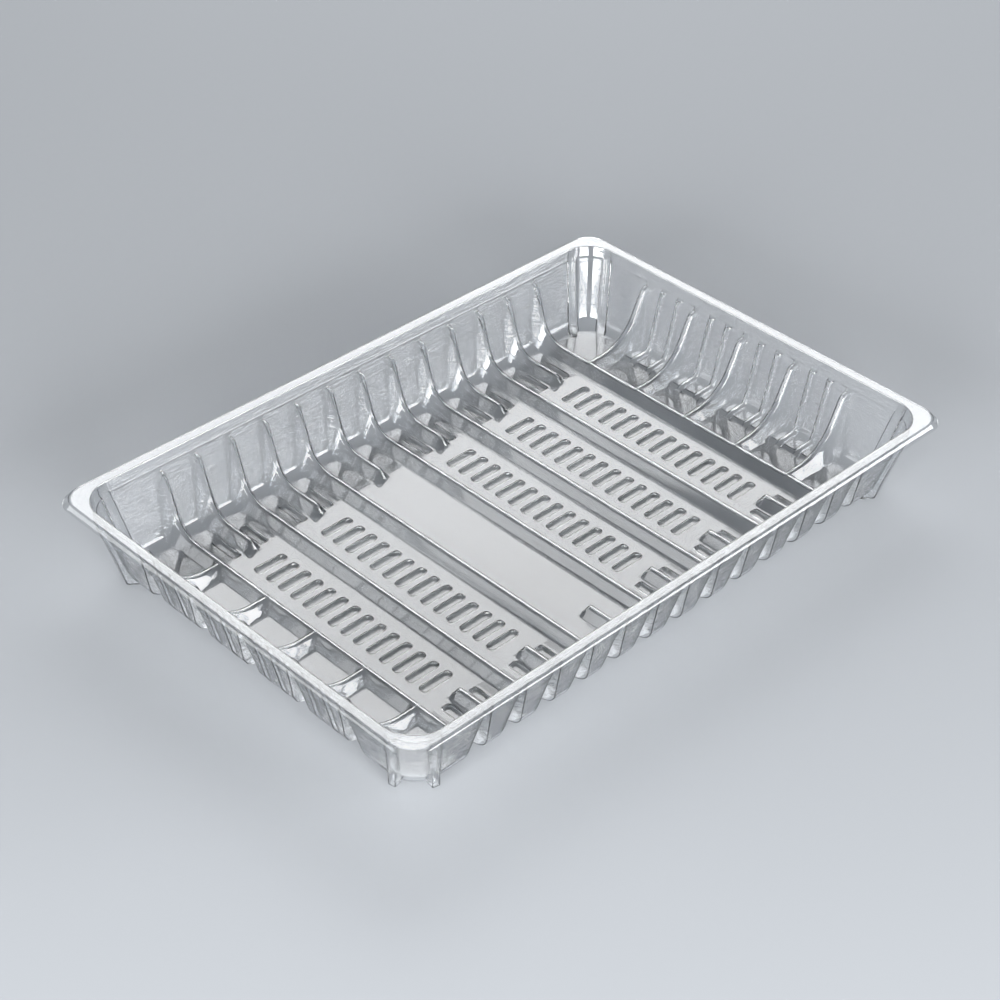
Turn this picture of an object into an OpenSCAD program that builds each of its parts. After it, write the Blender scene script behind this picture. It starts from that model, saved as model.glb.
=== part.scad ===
// Clear thermoformed food tray: one sheet drawn into a ribbed open tray with a flat flange.
// The sheet is the difference of two forms, its underside and its inside, one sheet apart.

/* [Rim] */
// Length of the flange, without its lip
flange_l = 281.6; // [270:0.2:320]
// Width of the flange, without its lip
flange_w = 191.4; // [180:0.2:220]
// Corner radius of the flange
flange_r = 8.5; // [6:0.5:12]
// Width of the flat flange
flange_flat = 4.1; // [3:0.1:8]
// How far the lip leans out past the flange
lip_out = 1.7; // [0.6:0.1:3]
// How far the lip hangs below the flange
lip_drop = 2.3; // [1.5:0.1:4]
// Corner radius of the mouth inside the flange
mouth_r = 14; // [10:0.5:18]
// Height of the smooth band under the flange
band_h = 4.3; // [3:0.1:7]
// How far the smooth band leans in
band_in = 1.2; // [0.6:0.1:2]
// Width of the small ledge under the band
ledge = 0.5; // [0.3:0.1:1.5]

/* [Walls and floor] */
// Thickness of the sheet
sheet = 0.5; // [0.4:0.05:0.7]
// Depth from the flange's top to the floor
depth = 33.8; // [30:0.2:44]
// Draft of the walls in degrees
draft = 14; // [11:0.5:16]
// Radius between the walls and the floor
floor_r = 6; // [4:0.5:8]
// Share of the mouth's corner radius that is lost for each mm of inset
corner_loss = 0.3; // [0.1:0.05:0.4]

/* [Ridges and pleats] */
// Pitch of the pleats along the long walls
pleat_pitch = 16.6; // [16:0.1:17.4]
// Ridges on each side of the middle one
ridge_pairs = 3; // [2:1:3]
// Height of the ridges above the floor
ridge_h = 4.5; // [3.5:0.1:6]
// Half the width of a crest
crest_half = 1.5; // [1.2:0.1:2]
// Half the width of a ridge at the floor
ridge_half = 3.7; // [3.2:0.1:4.2]
// Half the width of a pleat at the floor, next to the wall
pleat_half = 6.4; // [5.5:0.1:7]
// Height of the rounding at the crest
crest_round = 0.8; // [0.6:0.1:1]
// How far a pleat's top stands in from the long wall
pleat_in = 2.7; // [2:0.1:4]
// Lean of a pleat's crest in degrees
pleat_lean = 18; // [16:0.5:22]
// Radius from a pleat's crest into its ridge
pleat_r = 12; // [9:0.5:16]
// Distance of a stub's rounded end from the middle
stub_end = 54.8; // [52:0.2:58]

/* [End ribs] */
// Pitch of the ribs on the end walls
rib_pitch = 27.2; // [26:0.1:29]
// Ribs on each side of the middle one
rib_pairs = 2; // [1:1:2]
// How far a rib's top stands in from the end wall
rib_in = 3; // [2:0.1:4]
// Lean of a rib's crest in degrees
rib_lean = 25; // [22:0.5:28]
// Radius from a rib's crest into its foot
rib_r = 21; // [16:0.5:24]
// Half the width of a rib at the floor, next to the wall
rib_half = 6; // [5:0.1:7]
// How far the narrow ribs stand in from the end wall
bead_in = 1.4; // [1:0.1:2]
// Half the width of a narrow rib's crest
bead_half = 1.2; // [1:0.1:1.5]
// Radius from a narrow rib's crest into its foot
bead_r = 7; // [5:0.5:9]
// How far a narrow rib's foot reaches past the shelf's front
bead_reach = 1.5; // [1:0.1:2.5]
// Height of the shelf along the end walls
shelf_h = 1.3; // [1:0.1:2]
// Width of the shelf from the wall's foot line
shelf_w = 15; // [13:0.5:17]

/* [Grooves and flutes] */
// Width of a groove
groove_w = 3.2; // [2.6:0.1:4]
// Length of a cross groove
groove_l = 14; // [12:0.2:16]
// Pitch of the cross grooves
groove_pitch = 7.04; // [6.8:0.02:7.2]
// Cross grooves in a strip
groove_count = 14; // [10:2:14]
// Depth of the grooves below the floor
groove_d = 1.3; // [1:0.1:1.6]
// Sideways distance of the grooves beside a stub
side_groove = 6.6; // [6.4:0.1:7.4]
// Start of the grooves beside a stub, from the middle
side_start = 57.2; // [56:0.2:60]
// Length of the grooves beside a stub
side_l = 13.5; // [11:0.5:15]
// Radius of the flutes in the corners
flute_r = 2; // [1.6:0.1:2.6]
// Length of a flute's toe on the floor, between its round ends
toe_l = 2.4; // [1.6:0.2:4]
// Angle between a flute and the corner's diagonal
flute_angle = 33; // [29:1:36]

/* [Hidden] */

// Facets of the arcs in section and of the corners in plan
arc_steps = 4;
corner_steps = 6;
// How far the fins reach past the walls and below the floor
past = 8;
fin_low = -1;
top = depth + groove_d + sheet;
floor_z = groove_d + sheet;
mouth_z = top - band_h;
wall_top = flange_flat + band_in + ledge;
end_x = flange_l / 2 - wall_top;
side_y = flange_w / 2 - wall_top;
foot_inset = wall_top + (depth - band_h) * tan(draft);
shelf_x = flange_l / 2 - foot_inset - shelf_w + floor_r;
label_strip = -1;

// Offsets a path sideways by o, with mitred corners
function side(a, b) = [a.y - b.y, b.x - a.x] / norm(b - a);
function before(p, i) = i == 0 ? side(p[0], p[1]) : side(p[i - 1], p[i]);
function after(p, i) = i == len(p) - 1 ? before(p, i) : side(p[i], p[i + 1]);
function grow(p, o) = [for (i = [0 : len(p) - 1])
    let (n = before(p, i), m = after(p, i)) p[i] + (n + m) * o / (1 + n * m)];

// A rounded rectangle, inset from the flange's outline
function outline(inset, z, r) = [for (q = [0 : 3], i = [0 : corner_steps])
    let (a = 90 * (q + i / corner_steps),
         sx = q == 0 || q == 3 ? 1 : -1,
         sy = q < 2 ? 1 : -1)
    [sx * (flange_l / 2 - inset - r) + r * cos(a), sy * (flange_w / 2 - inset - r) + r * sin(a), z]];

// The inside of the tray in section, as inset and height, from the mouth to the floor
function bowl() = let (
        c = [foot_inset + floor_r * (1 - sin(draft)) / cos(draft), floor_z + floor_r])
    concat([[flange_flat, top], [flange_flat + band_in, mouth_z], [wall_top, mouth_z - ledge / 2]],
        [for (i = [0 : arc_steps]) let (a = draft + (90 - draft) * i / arc_steps)
            c - floor_r * [cos(a), sin(a)]]);
function corner_r(inset) = mouth_r - corner_loss * (inset - flange_flat);

// Joins rings of equally many points, each turning left as seen from the last one, into a closed solid
module loft(rings) {
    n = len(rings[0]);
    m = len(rings);
    polyhedron(
        points = [for (r = rings) each r],
        faces = concat(
            [[for (j = [0 : n - 1]) j]],
            [[for (j = [0 : n - 1]) m * n - 1 - j]],
            [for (i = [0 : m - 2], j = [0 : n - 1]) each [
                [i * n + j, (i + 1) * n + j, (i + 1) * n + (j + 1) % n],
                [i * n + j, (i + 1) * n + (j + 1) % n, i * n + (j + 1) % n]]]));
}

// The underside form, with the flange and its lip, closed at the flange's top
module outer_form() {
    wall = grow(bowl(), -sheet);
    under = [for (i = [len(wall) - 1 : -1 : 1]) outline(wall[i].x, wall[i].y, corner_r(wall[i].x))];
    loft(concat(under, [
        outline(wall[1].x - band_in, top - sheet, mouth_r),
        outline(sheet, top - sheet, flange_r - sheet),
        outline(sheet - lip_out, top - lip_drop, flange_r - sheet + lip_out / 2),
        outline(-lip_out, top - lip_drop, flange_r + lip_out / 2),
        outline(0, top, flange_r)]));
}

// The inside form, open past the flange's top
module inner_form() {
    wall = bowl();
    loft(concat(
        [for (i = [len(wall) - 1 : -1 : 0]) outline(wall[i].x, wall[i].y, corner_r(wall[i].x))],
        [outline(flange_flat, top + 1, mouth_r)]));
}

// The crest of a fin from past the wall to its level stretch, as distance and height
function crest(s_top, lean, r, level) = let (
        z0 = mouth_z - ledge,
        s1 = s_top - (z0 - level - r * (1 - sin(lean))) * tan(lean))
    concat([[s_top + past, z0], [s_top, z0]],
        [for (i = [0 : arc_steps]) let (a = lean + (90 - lean) * i / arc_steps)
            [s1 - r * cos(lean) + r * cos(a), level + r * (1 - sin(a))]]);

// One section of a fin across its path: crest height h, crest half c and foot half b at the floor
function section(s, h, c, b, o) = let (
        slope = (b - c) / (h - floor_z),
        k = o * sqrt(1 + slope * slope),
        w = c + slope * (h + o - fin_low) - k,
        tip = o > 0 ?
            [[-0.6 * (c - k), h], [0.6 * (c - k), h]] :
            [[-c, h - crest_round], [-c / 2, h], [c / 2, h], [c, h - crest_round]])
    concat([[s, -w, fin_low]], [for (p = tip) [s, p.x, p.y]], [[s, w, fin_low]]);
function foot(s, near, far, s0, s1) = near + (far - near) * min(1, max(0, (s - s0) / (s1 - s0)));

// Sections of a fin from past the wall to its level stretch, shrunk by the sheet where o is set
function fin_rings(path, c, near, far, s0, s1, o) = [for (p = grow(path, o))
    section(p.x, p.y, c, foot(p.x, near, far, s0, s1), o)];
function flip(rings) = [for (i = [len(rings) - 1 : -1 : 0]) [for (p = rings[i]) [-p.x, p.y, p.z]]];

function pleat_rings(o) = fin_rings(crest(side_y - pleat_in, pleat_lean, pleat_r, floor_z + ridge_h),
    crest_half, ridge_half, pleat_half, side_y * 0.8, side_y - 4, o);

// A ridge across the floor with a pleat at both ends
module ridge(o) {
    rotate(90) loft(concat(pleat_rings(o), flip(pleat_rings(o))));
}

// A pleat that ends on the floor in a short rounded stub
module stub(o) {
    h = floor_z + ridge_h - o;
    s = stub_end + o;
    rotate(90) loft(concat(pleat_rings(o), [
        section(s + 2.6, h, crest_half, ridge_half, o),
        section(s + 0.6, h - 1.4, crest_half * 0.9, ridge_half * 0.8, o)]));
}

// A rib up the end wall that starts at the outermost ridge
module end_rib(o) {
    rings = fin_rings(crest(end_x - rib_in, rib_lean, rib_r, floor_z + ridge_h),
        crest_half, ridge_half, rib_half, end_x * 0.8, end_x - 4, o);
    loft(concat(rings, [section(2 * ridge_pairs * pleat_pitch, floor_z + ridge_h - o,
        crest_half, ridge_half, o)]));
}

// A narrow rib on the end wall that turns onto the shelf
module bead(o) {
    h = floor_z + shelf_h + bead_in;
    rings = fin_rings(crest(end_x - bead_in, draft, bead_r, h),
        bead_half, bead_half + 0.6, bead_half + 1.6, shelf_x, end_x, o);
    loft(concat(rings, [
        section(shelf_x + 0.8 + o, h - o, bead_half, bead_half + 0.6, o),
        section(shelf_x - bead_reach + 1.5 * o, floor_z + 1.2 - o, bead_half * 0.9, bead_half + 0.3, o)]));
}

// The raised shelf along the foot of an end wall
module shelf(o) {
    translate([shelf_x + o, -rib_pairs * rib_pitch, fin_low])
        cube([end_x - shelf_x + past, 2 * rib_pairs * rib_pitch, floor_z + shelf_h - fin_low - o]);
}

// Everything that stands up from the floor and in from the walls
module fins(o) {
    for (i = [-ridge_pairs : ridge_pairs])
        translate([2 * i * pleat_pitch, 0, 0]) ridge(o);
    for (i = [0.5 - ridge_pairs : ridge_pairs - 0.5], m = [0, 1])
        translate([2 * i * pleat_pitch, 0, 0]) mirror([0, m, 0]) stub(o);
    for (m = [0, 1]) mirror([m, 0, 0]) {
        shelf(o);
        for (i = [-rib_pairs : rib_pairs])
            translate([0, i * rib_pitch, 0]) end_rib(o);
        for (i = [-rib_pairs : rib_pairs - 1], t = [1, 2])
            translate([0, (i + t / 3) * rib_pitch, 0]) bead(o);
    }
}

// A round-ended bar, flat in plan
module stadium(l, r) {
    square([l - 2 * r, 2 * r], center = true);
    for (s = [-1, 1]) translate([s * (l / 2 - r), 0]) circle(r, $fn = 24);
}

// Round-ended grooves pressed into the floor, grown by the sheet where o is set
module grooves(o) {
    r = groove_w / 2 + o;
    translate([0, 0, floor_z - groove_d - o]) linear_extrude(groove_d + sheet / 2)
        for (i = [0.5 - ridge_pairs : ridge_pairs - 0.5]) if (2 * i != label_strip)
            translate([2 * i * pleat_pitch, 0]) {
                for (j = [0 : groove_count - 1])
                    translate([0, (j - (groove_count - 1) / 2) * groove_pitch])
                        stadium(groove_l + 2 * o, r);
                for (sx = [-1, 1], sy = [-1, 1])
                    translate([sx * side_groove, sy * (side_start + side_l / 2)])
                        rotate(90) stadium(side_l + 2 * o, r);
            }
}

// A point on a corner's arc, at an angle, for an inset and a height
function corner_point(inset, z, a) = let (r = corner_r(inset))
    [flange_l / 2 - inset - r + r * cos(a), flange_w / 2 - inset - r + r * sin(a), z];

// A rod with a round head, from its head down to its tail
module rod(head, tail, r) {
    d = head - tail;
    translate(tail) rotate([0, acos(d.z / norm(d)), atan2(d.y, d.x)]) {
        cylinder(h = norm(d), r = r, $fn = 24);
        translate([0, 0, norm(d)]) sphere(r, $fn = 24);
    }
}

// Flutes that swell out of the corners and end in short toes on the floor
module flutes(o) {
    r = flute_r + o;
    bottom = floor_z - groove_d;
    for (mx = [0, 1], my = [0, 1], s = [-1, 1]) mirror([mx, 0, 0]) mirror([0, my, 0]) {
        a = 45 + s * flute_angle;
        head = corner_point(wall_top - 0.3, top - flute_r - 1.6, a);
        heel = corner_point(wall_top + (head.z - bottom - flute_r) * tan(draft), bottom, a);
        rod(head, heel + [0, 0, flute_r], r);
        translate([heel.x, heel.y, bottom - o]) rotate(45) linear_extrude(flute_r + groove_d + 2 * o)
            translate([-toe_l / 2, 0]) stadium(toe_l + 2 * r, r);
    }
}

// The sheet between the underside form and the inside form
module tray() {
    color([0.86, 0.9, 0.93, 0.35]) difference() {
        union() {
            difference() {
                outer_form();
                fins(sheet);
            }
            grooves(sheet);
            flutes(sheet);
        }
        difference() {
            inner_form();
            fins(0);
        }
        grooves(0);
        flutes(0);
    }
}

tray();
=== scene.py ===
import math
import bpy
import numpy as np
from mathutils import Matrix, Vector


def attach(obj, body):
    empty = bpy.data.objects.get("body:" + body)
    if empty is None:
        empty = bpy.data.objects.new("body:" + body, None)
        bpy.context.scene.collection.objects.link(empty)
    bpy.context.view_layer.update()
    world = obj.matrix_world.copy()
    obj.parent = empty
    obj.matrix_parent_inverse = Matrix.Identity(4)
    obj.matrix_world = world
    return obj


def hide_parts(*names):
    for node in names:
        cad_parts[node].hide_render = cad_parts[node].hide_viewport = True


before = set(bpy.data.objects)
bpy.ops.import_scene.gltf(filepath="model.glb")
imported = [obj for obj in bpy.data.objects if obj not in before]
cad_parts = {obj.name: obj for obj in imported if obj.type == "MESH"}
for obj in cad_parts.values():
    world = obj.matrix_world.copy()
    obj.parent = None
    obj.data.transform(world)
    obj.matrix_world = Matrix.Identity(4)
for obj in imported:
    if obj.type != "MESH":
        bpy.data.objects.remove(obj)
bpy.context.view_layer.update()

# Mould: the form the tray is drawn over. Its walls lean out 14 degrees from a rounded floor edge, and
# fins stand in it: ridges across the floor that turn up the long walls as pleats, and ribs that do
# the same at the ends. A fin has a round crest and straight flanks. Values are in mm.
half_l, half_w, rim_top, floor_top, sheet = 140.8, 95.7, 35.6, 1.8, 0.5
wall_top, wall_inset, edge_r = 30.8, 5.8, 6
pitch, rib_pitch = 16.6, 27.2
crest_r, ridge_top, ridge_foot = 1.45, 6.3, 3.7
stub_end, shelf_top = 58.3, 1.3
draft = math.tan(math.radians(14))


def ease(v, low, high):
    t = np.clip((v - low) / (high - low), 0, 1)
    return t * t * (3 - 2 * t)


def wall_height(inset):
    foot_start, foot_end = 12.02, 17.84
    straight = wall_top - (inset - wall_inset) / draft
    into_foot = np.clip(foot_end - inset, 0, edge_r)
    foot = floor_top + edge_r - np.sqrt(np.maximum(edge_r ** 2 - into_foot ** 2, 0))
    low = np.where(inset > foot_end, floor_top, foot)
    return np.where(inset > foot_start, low, np.minimum(straight, wall_top))


def crest_height(s, s_top, lean, r):
    tangent = s_top - (wall_top - ridge_top - r * (1 - math.sin(lean))) * math.tan(lean)
    start = tangent - r * math.cos(lean)
    turn = ridge_top + r - np.sqrt(np.maximum(r * r - np.clip(s - start, 0, r) ** 2, 0))
    steep = wall_top - (s_top - s) / math.tan(lean)
    crest = np.where(s > tangent, steep, turn)
    cap = wall_top - 1.2 + 0.1 * np.maximum(s - s_top, -2)
    return np.minimum(crest, cap)


def flank_angle(crest, foot):
    h = crest - floor_top - crest_r
    return np.arctan2(h, foot) + np.arcsin(crest_r / np.sqrt(foot ** 2 + h ** 2))


def fin(offset, crest, foot):
    round_top = crest - crest_r + np.sqrt(np.maximum(crest_r ** 2 - offset ** 2, 0))
    flank = flank_angle(crest, foot)
    straight = floor_top + (foot - offset) * np.tan(flank)
    return np.where(offset < crest_r * np.sin(flank), round_top, straight)


def valley(crest, foot, bare):
    return np.maximum(foot - (bare - floor_top) / np.tan(flank_angle(crest, foot)), 2)


def pleat(s):
    return crest_height(s, 87.2, math.radians(18), 12), ridge_foot + 2.7 * ease(s, 71, 87)


def rib(s):
    return crest_height(s, 132, math.radians(25), 21), ridge_foot + 2.3 * ease(s, 108, 132)


def shelf(s):
    return floor_top + shelf_top * ease(s, 117.3, 118.5)


# Blank: one sheet of clear PET, clamped flat over the mould before it is heated and drawn down. It is
# a grid whose lines will follow the mould, closest where the tray bends most. A column has a place at
# the grooves, the stubs and the walls, a row in the middle and at the ends, and each a valley's pull.
wall_insets = [6.4, 7.1, 7.9, 8.8, 9.7, 10.6, 11.6, 12.4, 13.2, 14.0, 14.8, 15.6, 16.4, 17.3, 18.2]
rim_profile = [(-1.7, -2.3), (-0.75, -1.4), (-0.35, -0.75), (0.05, -0.25), (0.7, 0), (3.8, 0),
               (4.25, -0.15), (4.5, -0.7), (5.2, -4.0), (5.45, -4.45), (5.85, -4.8)]
insets = np.array([p[0] for p in rim_profile] + wall_insets)


def both_sides(lines):
    return [[-v for v in line] for line in reversed(lines)] + [[0] * len(lines[0])] + lines


beside_fin = [(0.55, 0), (1.05, 0), (1.4, 0), (3.3, 1), (3.7, 1), (4.1, 1)]
ridge_lines = both_sides([[o, o, o, pull] for o, pull in beside_fin + [(8.05, 0)]])
stub_lines = both_sides([[2.5, 0.55, 0.55, 0], [4.6, 1.05, 1.05, 0], [5.4, 1.4, 1.4, 0], [5.8, 3.3, 3.3, 1],
                         [6.2, 3.7, 3.7, 1], [6.5, 4.65, 4.1, 1], [6.7, 5.0, 5.2, 0.75],
                         [6.95, 5.45, 6.2, 0.5], [7.2, 7.75, 7.2, 0.25], [7.4, 8.0, 8.1, 0]])
columns = []
for number in range(7):
    for line in stub_lines if number % 2 else ridge_lines:
        columns.append([number * pitch + o for o in line[:3]] + [line[3]])
columns = [c for c in columns if c[0] > 0.1]
columns += [[x] * 3 + [0] for x in (109.4, 111.5, 113.6, 115.6, 117.0, 117.7, 118.5, 119.7, 121.4)]
columns += [[half_l - s] * 3 + [0] for s in reversed(insets)]

# Rows run beside each groove and then round the stubs' ends. At the tray's ends they run beside each
# rib, more rows fill the widest gaps, and the last ones keep for the corner what the flute needs.
groove_pitch, narrow_pitch = 7.04, rib_pitch / 3
groove_edges = (0.45, 0.85, 1.15, 1.3, 1.55, 1.8, 1.95)
groove_rows = sorted(groove_pitch * (n + 0.5) + way * o
                     for n in range(7) for way in (-1, 1) for o in groove_edges)
groove_rows += [51.5, 54.3, 54.8, 55.3, 55.9, 56.5, 57.1, 57.5, 57.9, 58.3, 58.8, 61.5, 64, 66.5, 68.5]
groove_rows += [69.4, 69.7, 70.0, 70.4, 70.8, 71.2, 71.6, 73.8, 76.3]
narrow = both_sides([[0.5, 0], [0.95, 0], [1.35, 0], [1.6, 0], [1.75, 0]])
wide = both_sides(beside_fin)
rib_rows = [[c * narrow_pitch + o, pull] for c in range(7) for o, pull in (narrow if c % 3 else wide)]
rib_rows = sorted(r for r in rib_rows if r[0] > 0.1)
corner_lines = [61.5, 64.5, 67.3, 69.3, 70.7, 71.9, 73.1, 74.4, 75.9]
while len(rib_rows) < len(groove_rows) - len(corner_lines):
    widest = max(range(1, len(rib_rows)), key=lambda i: rib_rows[i][0] - rib_rows[i - 1][0])
    rib_rows.insert(widest, [sum(pair) / 2 for pair in zip(rib_rows[widest - 1], rib_rows[widest])])
rib_rows += [[y, 0] for y in corner_lines]
rows = [[mid, end, pull] for mid, (end, pull) in zip(groove_rows, rib_rows)]
rows += [[half_w - s] * 2 + [0] for s in reversed(insets)]

columns = np.array([[-v for v in c] for c in reversed(columns)] + [[0] * 4] + columns)
rows = np.array([[-v for v in r] for r in reversed(rows)] + [[0] * 3] + rows)
bpy.ops.object.select_all(action="DESELECT")
bpy.ops.mesh.primitive_grid_add(x_subdivisions=len(columns) - 1, y_subdivisions=len(rows) - 1, size=1)
tray = bpy.context.object
tray.name = tray.data.name = "clear_tray"

row_mid, col_mid = np.abs(rows[:, 0])[:, None], np.abs(columns[:, 0])[None, :]
to_stub, to_wall, to_end = ease(row_mid, 50, 54.3), ease(row_mid, 71, 76.3), ease(col_mid, 91, 101.2)
x = columns[:, 0] + (columns[:, 1] - columns[:, 0]) * to_stub + (columns[:, 2] - columns[:, 1]) * to_wall
x = x + columns[:, 3] * (valley(*pleat(row_mid), wall_height(half_w - row_mid)) - ridge_foot)
beside_rib = np.maximum(wall_height(half_l - col_mid), shelf(col_mid))
pulled = rows[:, 2:] * (valley(*rib(col_mid), beside_rib) - ridge_foot)
y = rows[:, :1] + (rows[:, 1:2] - rows[:, :1] + pulled) * to_end

# Rim: the rings of lines turn each corner on an arc, tightest at the trimmed edge of the flange,
# and lie at the flange, the turned-down lip, the smooth band and the wall down to the floor's edge.
# On the walls nine lines of each side keep to the corner's flute, so its edges come out crisp.
from_end = np.minimum(np.arange(len(columns)), np.arange(len(columns))[::-1])[None, :]
from_side = np.minimum(np.arange(len(rows)), np.arange(len(rows))[::-1])[:, None]
ring, other = np.minimum(from_end, from_side), np.maximum(from_end, from_side)
count = len(insets)
inner = count + len(corner_lines)
half_x = -columns[:inner + 1, 0][np.minimum(ring, inner)]
half_y = -rows[:inner + 1, 1][np.minimum(ring, inner)]
ring_inset = np.concatenate([insets, np.full(len(columns), insets[-1] + 1)])[ring]
flange_r = np.interp(ring_inset, [-1.7, 0, 4.1], [9.35, 8.5, 14])
radius = np.where(ring_inset < 4.1, flange_r, 14 - 0.3 * (ring_inset - 4.1))
radius = np.where(ring < count, radius, np.maximum(9.8 * (1 - (ring - count + 1) / 10), 0.01))
flute_place = radius * math.radians(33)
lanes = np.array([-3.0, -2.15, -1.8, -1.0, 0, 1.0, 1.8, 2.15, 3.0])
run = flute_place + lanes[np.clip(other - count, 0, len(lanes) - 1)]
run = np.where(other < count, (flute_place - 3) * (other - ring) / np.maximum(count - ring, 1), run)
half_arc = radius * math.pi / 4
run = np.where(ring < count, run, (half_arc + 1) * (other - ring) / np.maximum(inner - ring, 1))
in_corner = other < inner
on_side = from_side <= from_end
bend = np.minimum(run / radius, math.pi / 4)
past = np.maximum(run - half_arc, 0)
angle = math.pi / 4 + np.where(on_side, bend, -bend)
corner_x = half_x - radius + radius * np.cos(angle) - np.where(on_side, past, 0)
corner_y = half_y - radius + radius * np.sin(angle) - np.where(on_side, 0, past)

# Flutes: two half-round channels down each corner's wall that end in short toes on the floor, where
# they are as deep as the grooves. They are pushed outwards from the corner's arc.
rim_height = np.array([p[1] for p in rim_profile])
on_rim = ring < len(rim_profile)
rim_z = rim_top + rim_height[np.minimum(ring, len(rim_profile) - 1)]
z = np.where(on_rim, rim_z, wall_height(ring_inset))
z = np.where(ring < count, z, floor_top)
off = np.abs(run - flute_place)
toe_half = np.interp(ring_inset, [15.6, 16.4, 17.3, 18.2], [2.1, 1.95, 1.2, 0.1])
share = np.where(ring_inset < 11.7, np.sqrt(np.maximum(1 - (off / 2.05) ** 2, 0)),
                 1 - ease(off, toe_half - 0.6, toe_half))
channel = np.interp(ring_inset, [4.5, 5.2, 5.85, 6.4, 11.6, 12.4, 13.2, 14.0, 14.8, 15.6, 16.4, 17.3],
                    [4.5, 4.4, 4.3, 4.4, 9.6, 10.35, 11.0, 11.6, 12.6, 14.2, 16.2, 17.0])
bed = np.interp(ring_inset, [11.6, 12.4, 13.2, 14.0, 14.8, 16.4, 17.3],
                [7.46, 4.6, 2.0, 0.7, 0.5, 0.5, 0.75])
fluted = in_corner & (ring < count) & (ring_inset > 4.5)
push = np.where(fluted, (ring_inset - channel) * share, 0)
z = np.where(fluted & (ring_inset > 11.5), z + (np.minimum(bed, z) - z) * share, z)
x = np.where(in_corner, np.sign(x) * (corner_x + push * np.cos(angle)), x)
y = np.where(in_corner, np.sign(y) * (corner_y + push * np.sin(angle)), y)
across, along = np.abs(x), np.abs(y)
bare = z.copy()

# Narrow ribs and shelf: two half-round ribs between each pair of ribs stiffen the end walls, and
# turn forward over a low shelf at the wall's foot. Between them the wall meets it in a small step.
narrow_r, narrow_half = 1.4, 1.7
place = along / narrow_pitch
nearest = np.clip(np.round(place), 1, 5)
nearest = np.where(nearest == 3, np.where(place < 3, 2, 4), nearest)
from_rib = np.abs(along - nearest * narrow_pitch) / narrow_half
bulge = narrow_r * np.sqrt(np.maximum(1 - from_rib ** 2, 0))
end_wall = ~on_rim & (from_end < from_side) & (along < 2 * rib_pitch)
end_inset = half_l - across
stepped = np.interp(end_inset, [11.2, 11.7, 12.5, 13.3, 14.1, 15.7, 16.9],
                    [9.13, 6.7, 6.4, 4.7, 3.7, 3.2, 3.1])
between = end_wall & (end_inset > 11.3) & (end_inset < 17.5)
z = np.where(between, np.maximum(stepped, z), z)
proud = np.minimum(wall_height(end_inset - bulge), wall_top - 0.3)
z = np.where(end_wall & (bulge > 0), np.maximum(proud, z), z)
low = np.where(along < 2 * rib_pitch, shelf(across), floor_top)
bar = floor_top + (shelf_top + bulge) * ease(across, 116.2, 119.0)
z = np.where(~on_rim & (across > 116), np.maximum(z, np.where(bulge > 0, np.maximum(bar, low), low)), z)


# Ridges and pleats: the fins, where they stand clear of the sheet's bare form. A short stub of a
# pleat ends in each gap between two ridges, and the ribs run in to the outermost ridge.
def blend_up(a, b, k):
    return np.maximum(a, b) + np.maximum(k - np.abs(a - b), 0) ** 2 / (4 * k)


def raise_fin(z, height):
    near_top = np.clip((wall_top + 0.3 - np.maximum(z, height)) / 4, 0.1, 1)
    soft = np.clip(0.4 + (bare - floor_top) * 0.02, 0.4, 1) * near_top
    return np.where(on_rim, z, np.maximum(z, blend_up(z, height, soft)))


last_ridge, no_fin = 6 * pitch, -9
number = np.clip(np.round(across / pitch), 0, 6)
offset = np.abs(across - number * pitch)
is_stub = number % 2 == 1
stub_off = np.where(is_stub & (along < stub_end), np.hypot(offset, stub_end - along), offset)
z = raise_fin(z, np.where(across < 108, fin(stub_off, *pleat(along)), no_fin))
rib_off = np.abs(along - np.clip(np.round(along / rib_pitch), 0, 2) * rib_pitch)
z = raise_fin(z, np.where(across > last_ridge - 0.01, fin(rib_off, *rib(across)), no_fin))

# Grooves: rows of round-ended slots pressed 1.3 mm into the floor, and two beside each stub. The
# strip to the left of the middle one has none.
groove_r, groove_reach = 1.6, 5.4
side_off, side_mid, side_reach = 6.6, 63.95, 5.15
strip = np.where(is_stub & ~((number == 1) & (x < 0)), 1, 0)
row_off = np.abs((along % groove_pitch) - groove_pitch / 2)
slot_d = np.hypot(np.maximum(offset - groove_reach, 0), row_off) - groove_r
slot_d = np.where(along < 7 * groove_pitch, slot_d, 9)
side_past = np.maximum(np.abs(along - side_mid) - side_reach, 0)
side_d = np.hypot(offset - side_off, side_past) - groove_r
groove = np.minimum(slot_d, side_d)
pressed = np.interp(groove, [-0.45, -0.3, 0.2, 0.35], [1.3, 1.18, 0.12, 0])
z = z - pressed * strip * (across < 100)

# Drawing down: the blank takes the mould's shape and gets the sheet's thickness towards its underside,
# at most 2.2 times as much in sharp valleys and never below the table. Flat runs are joined, and the
# sheet is smooth but for folds of more than 32 degrees, as vacuum-formed sheet is.
points = np.stack([x, y, z], axis=-1).reshape(-1, 3) / 1000
tray.data.vertices.foreach_set("co", points.ravel())
tray.data.update()
bpy.ops.object.mode_set(mode="EDIT")
bpy.ops.mesh.select_all(action="SELECT")
bpy.ops.mesh.normals_make_consistent(inside=False)
bpy.ops.object.mode_set(mode="OBJECT")
if tray.data.polygons[len(tray.data.polygons) // 2].normal.z < 0:
    tray.data.flip_normals()
solid = tray.modifiers.new("sheet", "SOLIDIFY")
solid.thickness = sheet / 1000
solid.offset = -1
solid.use_even_offset = True
bpy.ops.object.modifier_apply(modifier=solid.name)
both_faces = np.empty(len(tray.data.vertices) * 3)
tray.data.vertices.foreach_get("co", both_faces)
upper, under = both_faces.reshape(2, -1, 3)
through = np.linalg.norm(under - upper, axis=1)[:, None]
bridged = 2.2 * sheet / 1000
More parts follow.
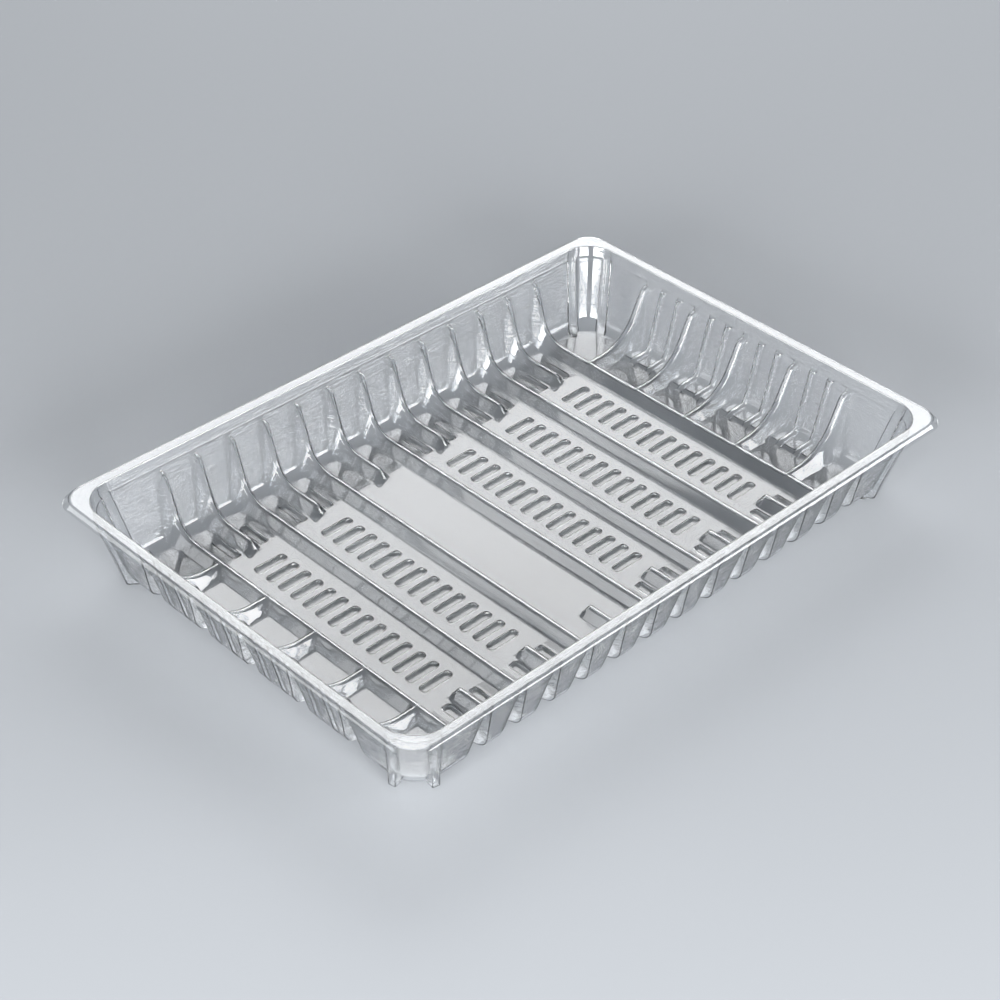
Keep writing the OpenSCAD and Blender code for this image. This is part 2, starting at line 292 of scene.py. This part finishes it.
under[:] = upper + (under - upper) * np.minimum(bridged / np.maximum(through, 1e-9), 1)
under[:, 2] = np.maximum(under[:, 2], 0)
tray.data.vertices.foreach_set("co", both_faces)
tray.data.update()
join = tray.modifiers.new("join_flats", "DECIMATE")
join.decimate_type, join.angle_limit = "DISSOLVE", math.radians(0.4)
bpy.ops.object.modifier_apply(modifier=join.name)
bpy.ops.object.shade_smooth_by_angle(angle=math.radians(32))
flats = tray.modifiers.new("flats", "WEIGHTED_NORMAL")
flats.weight = 70
flats.keep_sharp = True
bpy.ops.object.modifier_apply(modifier=flats.name)


def colour(code):
    parts = [int(code[i:i + 2], 16) / 255 for i in (1, 3, 5)]
    return [c / 12.92 if c <= 0.04045 else ((c + 0.055) / 1.055) ** 2.4 for c in parts] + [1]


def node(tree, kind, links=(), **settings):
    new = tree.nodes.new(kind)
    for key, value in settings.items():
        if hasattr(new, key):
            setattr(new, key, value)
        else:
            new.inputs[key.replace("_", " ")].default_value = value
    for socket, source in links:
        tree.links.new(source, new.inputs[socket])
    return new


# Clear PET sheet, extruded and vacuum formed: glossy and almost colourless, with faint drawing
# streaks along the walls, 0.7 mm apart, that make its reflections waver.
pet = bpy.data.materials.new("clear_pet_sheet")
pet.use_nodes = True
tree = pet.node_tree
shader = tree.nodes["Principled BSDF"]
object_place = node(tree, "ShaderNodeTexCoord")
stretch = node(tree, "ShaderNodeMapping", [("Vector", object_place.outputs["Object"])])
stretch.inputs["Scale"].default_value = (130, 130, 1500)
streaks = node(tree, "ShaderNodeTexNoise", [("Vector", stretch.outputs[0])], Scale=1.0, Detail=2.0)
slope = node(tree, "ShaderNodeSeparateXYZ", [("Vector", object_place.outputs["Normal"])])
steep = node(tree, "ShaderNodeMath", [(0, slope.outputs["Z"])], operation="ABSOLUTE")
on_wall = node(tree, "ShaderNodeMapRange", [("Value", steep.outputs[0])])
for socket, value in (("From Min", 0.3), ("From Max", 0.25), ("To Min", 0.0), ("To Max", 0.55)):
    on_wall.inputs[socket].default_value = value
ripple = node(tree, "ShaderNodeBump", [("Height", streaks.outputs["Fac"]),
                                       ("Strength", on_wall.outputs[0])], Distance=0.0004)
tree.links.new(ripple.outputs[0], shader.inputs["Normal"])
shader.inputs["Base Color"].default_value = colour("#FAFBFC")
shader.inputs["Roughness"].default_value = 0.04
shader.inputs["IOR"].default_value = 1.575
shader.inputs["Transmission Weight"].default_value = 1.0
tray.data.materials.append(pet)
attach(tray, "root")
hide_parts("tray")

# Floor: a plain pale board, quite matt so that no lamp shows in it, well wider than the tray.
bpy.ops.object.select_all(action="DESELECT")
bpy.ops.mesh.primitive_plane_add(size=6, location=(0, 0, -0.0003))
floor = bpy.context.object
floor.name = "floor"
board = bpy.data.materials.new("matt_pale_board")
board.use_nodes = True
paint = board.node_tree.nodes["Principled BSDF"]
paint.inputs["Base Color"].default_value = colour("#B8BCC1")
paint.inputs["Roughness"].default_value = 0.8
paint.inputs["Specular IOR Level"].default_value = 0.0
floor.data.materials.append(board)

# Light: a pale room with six soft panels. One behind the tray is mirrored in its flat floor, the
# others stand low all round and give the light lines on ridges, ribs, rim and walls.
world = bpy.data.worlds.new("pale_room")
bpy.context.scene.world = world
world.use_nodes = True
world.node_tree.nodes["Background"].inputs["Color"].default_value = colour("#C9CDD2")
world.node_tree.nodes["Background"].inputs["Strength"].default_value = 0.22


def soft_panel(name, place, width, height, power):
    data = bpy.data.lights.new(name, "AREA")
    data.shape, data.size, data.size_y, data.energy = "RECTANGLE", width, height, power
    lamp = bpy.data.objects.new(name, data)
    bpy.context.collection.objects.link(lamp)
    lamp.location = place
    lamp.visible_camera = False
    lamp.rotation_euler = (-Vector(place)).to_track_quat("-Z", "Y").to_euler()


soft_panel("back_panel", (0.75, 0.75, 0.8), 0.95, 0.6, 7)
soft_panel("low_back_panel", (1.2, 1.2, 0.3), 1.6, 0.4, 4)
soft_panel("left_front_panel", (-1.14, -0.37, 0.3), 0.7, 0.5, 19)
soft_panel("right_front_panel", (-0.43, -1.12, 0.3), 0.7, 0.5, 19)
soft_panel("right_panel", (0.75, -0.95, 0.25), 0.9, 0.4, 9)
soft_panel("left_panel", (-0.97, 0.7, 0.25), 0.9, 0.4, 3)

# Camera: the photograph's own angle and lens, worked out from the rim and the pleats.
camera_data = bpy.data.cameras.new("camera")
camera_data.lens, camera_data.sensor_width = 82.07, 36
camera = bpy.data.objects.new("camera", camera_data)
bpy.context.collection.objects.link(camera)
look = Vector((0.5655, 0.5619, -0.6038)).normalized()
level = look.cross(Vector((0, 0, 1))).normalized()
rise = level.cross(look)
roll = 0.0240
side = level * math.cos(roll) + rise * math.sin(roll)
lift = rise * math.cos(roll) - level * math.sin(roll)
turn = Matrix((side, lift, -look)).transposed().to_4x4()
camera.matrix_world = Matrix.Translation((-0.4991, -0.4892, 0.5435)) @ turn
bpy.context.scene.camera = camera

scene = bpy.context.scene
scene.view_settings.view_transform = "Standard"
